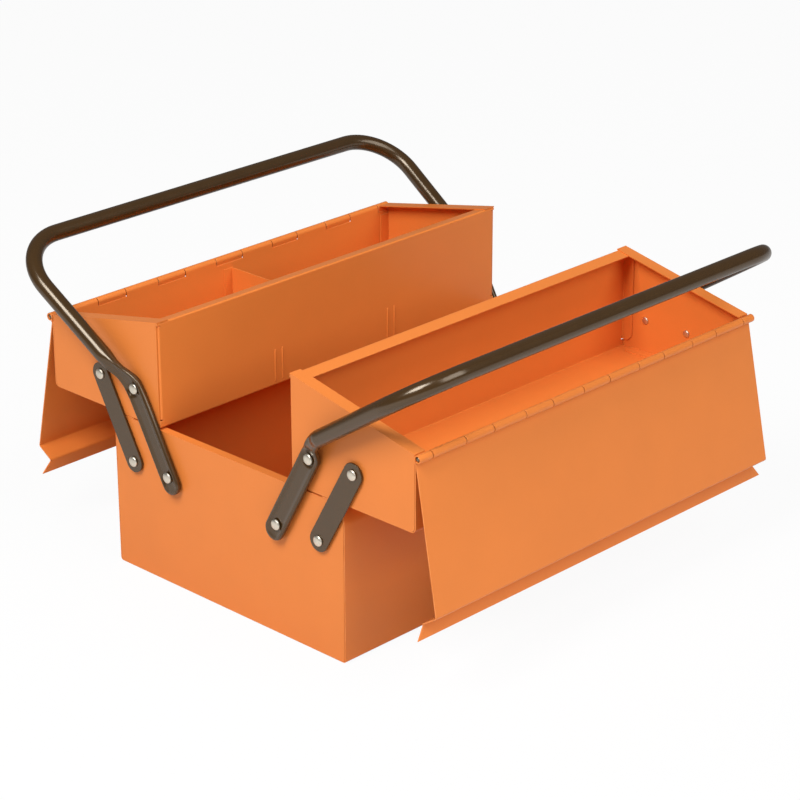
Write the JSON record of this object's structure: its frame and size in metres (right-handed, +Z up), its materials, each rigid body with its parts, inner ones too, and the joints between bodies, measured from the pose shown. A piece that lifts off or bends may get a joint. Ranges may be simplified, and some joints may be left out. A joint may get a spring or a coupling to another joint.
{
  "type": "cantilever tool box",
  "caption": "Folding sheet-steel tool box, shown open: a deep base, lidded trays on parallel links, and tubular carrying handles that swing them shut.",
  "frame": {"origin": "middle of the underside of the base, on the surface it stands on", "axes": "+X along the box from the near end to the far end, +Y across it from the front tray to the rear tray, +Z up"},
  "size_m": [0.48, 0.5158, 0.2914],
  "materials": {
    "orange_paint": "gloss stove enamel",
    "brown_paint": "gloss enamel",
    "bright_steel": "zinc plated"
  },
  "bodies": {
    "base": {"base_wrap": "orange_paint", "base_end_near": "orange_paint", "base_end_far": "orange_paint", "base_rivets": "bright_steel", "base_washers": "bright_steel"},
    "front_handle": {"front_handle": "brown_paint"},
    "front_tray": {"front_tray_wrap": "orange_paint", "front_tray_end_near": "orange_paint", "front_tray_end_far": "orange_paint", "front_tray_rivets": "bright_steel", "front_tray_washers": "bright_steel", "front_hinge_pin": "bright_steel"},
    "front_lid": {"front_lid": "orange_paint"},
    "front_strap_near": {"front_strap_near": "brown_paint"},
    "front_strap_far": {"front_strap_far": "brown_paint"},
    "rear_handle": {"rear_handle": "brown_paint"},
    "rear_tray": {"rear_tray_wrap": "orange_paint", "rear_tray_end_near": "orange_paint", "rear_tray_end_far": "orange_paint", "rear_tray_rivets": "bright_steel", "rear_tray_washers": "bright_steel", "rear_hinge_pin": "bright_steel", "rear_tray_divider": "orange_paint"},
    "rear_lid": {"rear_lid": "orange_paint"},
    "rear_strap_near": {"rear_strap_near": "brown_paint"},
    "rear_strap_far": {"rear_strap_far": "brown_paint"}
  },
  "joints": [
    {"name": "front_swing", "type": "hinge", "parent": "base", "child": "front_handle", "pos_m": [0, -0.06849, 0.10655], "axis": [-1, 0, 0], "range_deg": [0, 58.4]},
    {"name": "front_tray_level", "type": "hinge", "parent": "front_handle", "child": "front_tray", "pos_m": [0, -0.10898, 0.179], "axis": [-1, 0, 0], "range_deg": [-58.4, 0]},
    {"name": "front_lid_turn", "type": "hinge", "parent": "front_tray", "child": "front_lid", "pos_m": [0, -0.22756, 0.2132], "axis": [-1, 0, 0], "range_deg": [0, 247.12]},
    {"name": "front_strap_near_swing", "type": "hinge", "parent": "base", "child": "front_strap_near", "pos_m": [0, -0.11649, 0.10655], "axis": [-1, 0, 0], "range_deg": [0, 58.4]},
    {"name": "front_strap_far_swing", "type": "hinge", "parent": "base", "child": "front_strap_far", "pos_m": [0, -0.11649, 0.10655], "axis": [-1, 0, 0], "range_deg": [0, 58.4]},
    {"name": "rear_swing", "type": "hinge", "parent": "base", "child": "rear_handle", "pos_m": [0, 0.06849, 0.10655], "axis": [1, 0, 0], "range_deg": [0, 58.4]},
    {"name": "rear_tray_level", "type": "hinge", "parent": "rear_handle", "child": "rear_tray", "pos_m": [0, 0.10898, 0.179], "axis": [1, 0, 0], "range_deg": [-58.4, 0]},
    {"name": "rear_lid_turn", "type": "hinge", "parent": "rear_tray", "child": "rear_lid", "pos_m": [0, 0.22756, 0.2132], "axis": [1, 0, 0], "range_deg": [0, 247.12]},
    {"name": "rear_strap_near_swing", "type": "hinge", "parent": "base", "child": "rear_strap_near", "pos_m": [0, 0.11649, 0.10655], "axis": [1, 0, 0], "range_deg": [0, 58.4]},
    {"name": "rear_strap_far_swing", "type": "hinge", "parent": "base", "child": "rear_strap_far", "pos_m": [0, 0.11649, 0.10655], "axis": [1, 0, 0], "range_deg": [0, 58.4]}
  ],
  "couplings": [
    {"joint": "front_tray_level", "follows": "front_swing", "ratio": -1},
    {"joint": "front_lid_turn", "follows": "front_swing", "ratio": 4.2316},
    {"joint": "front_strap_near_swing", "follows": "front_swing", "ratio": 1},
    {"joint": "front_strap_far_swing", "follows": "front_swing", "ratio": 1},
    {"joint": "rear_tray_level", "follows": "rear_swing", "ratio": -1},
    {"joint": "rear_lid_turn", "follows": "rear_swing", "ratio": 4.2316},
    {"joint": "rear_strap_near_swing", "follows": "rear_swing", "ratio": 1},
    {"joint": "rear_strap_far_swing", "follows": "rear_swing", "ratio": 1}
  ]
}
